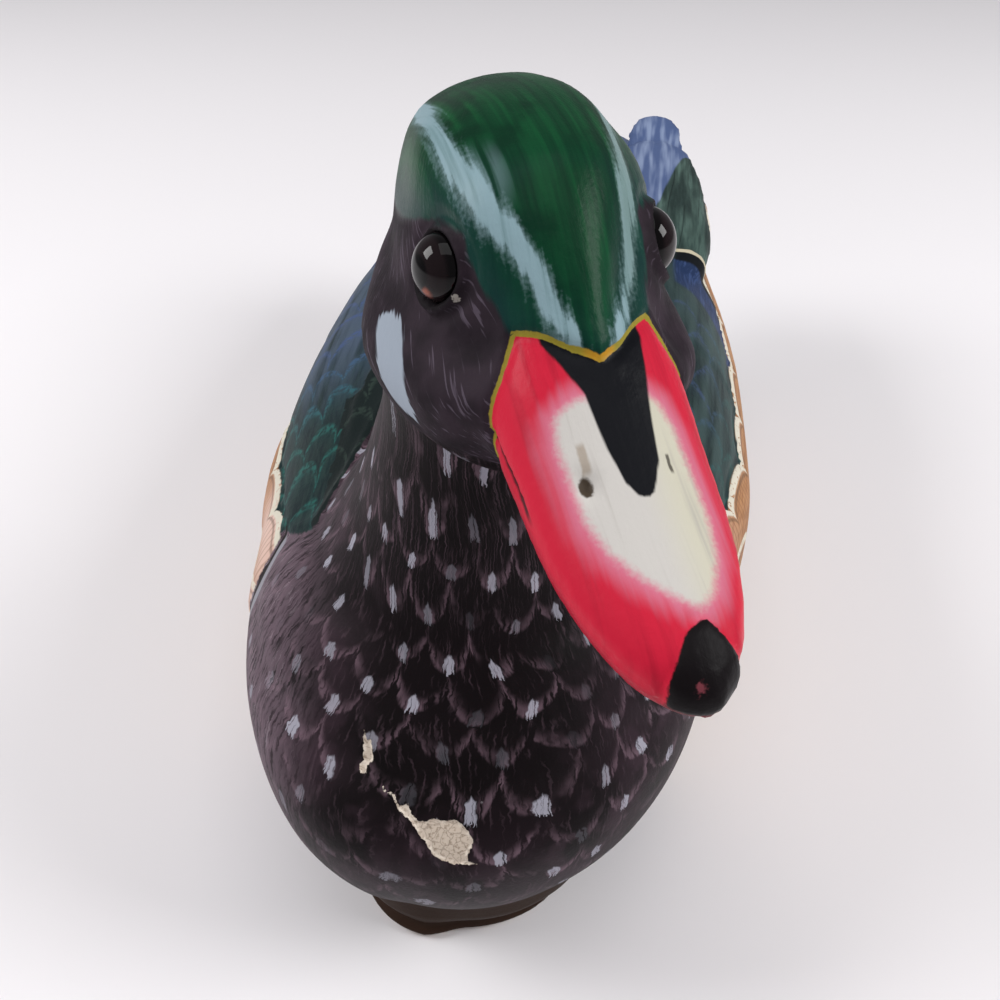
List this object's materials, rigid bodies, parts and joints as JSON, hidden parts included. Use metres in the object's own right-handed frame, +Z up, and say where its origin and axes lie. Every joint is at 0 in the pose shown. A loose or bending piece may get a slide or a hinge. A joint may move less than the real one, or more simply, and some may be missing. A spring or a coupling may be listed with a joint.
{
  "type": "duck decoy",
  "caption": "Carved and painted wood duck drake decoy with a turned head, a broad drooping bill, folded wing tips and glass eyes, standing on a flat underside.",
  "frame": {"origin": "middle of the flat underside, on the body's plane of symmetry", "axes": "+Z is up, the duck's breast faces -Y and its tail +Y, and its own left side is +X, towards which the head is turned"},
  "size_m": [0.122, 0.3118, 0.1706],
  "materials": {
    "painted_wood": "hand-painted satin enamel over a carved wood block, with a few chips down to the filler",
    "eye_glass": "half-round glass eye with a painted back"
  },
  "bodies": {
    "root": {"carved_duck": "painted_wood", "left_eye": "eye_glass", "right_eye": "eye_glass"}
  },
  "joints": []
}
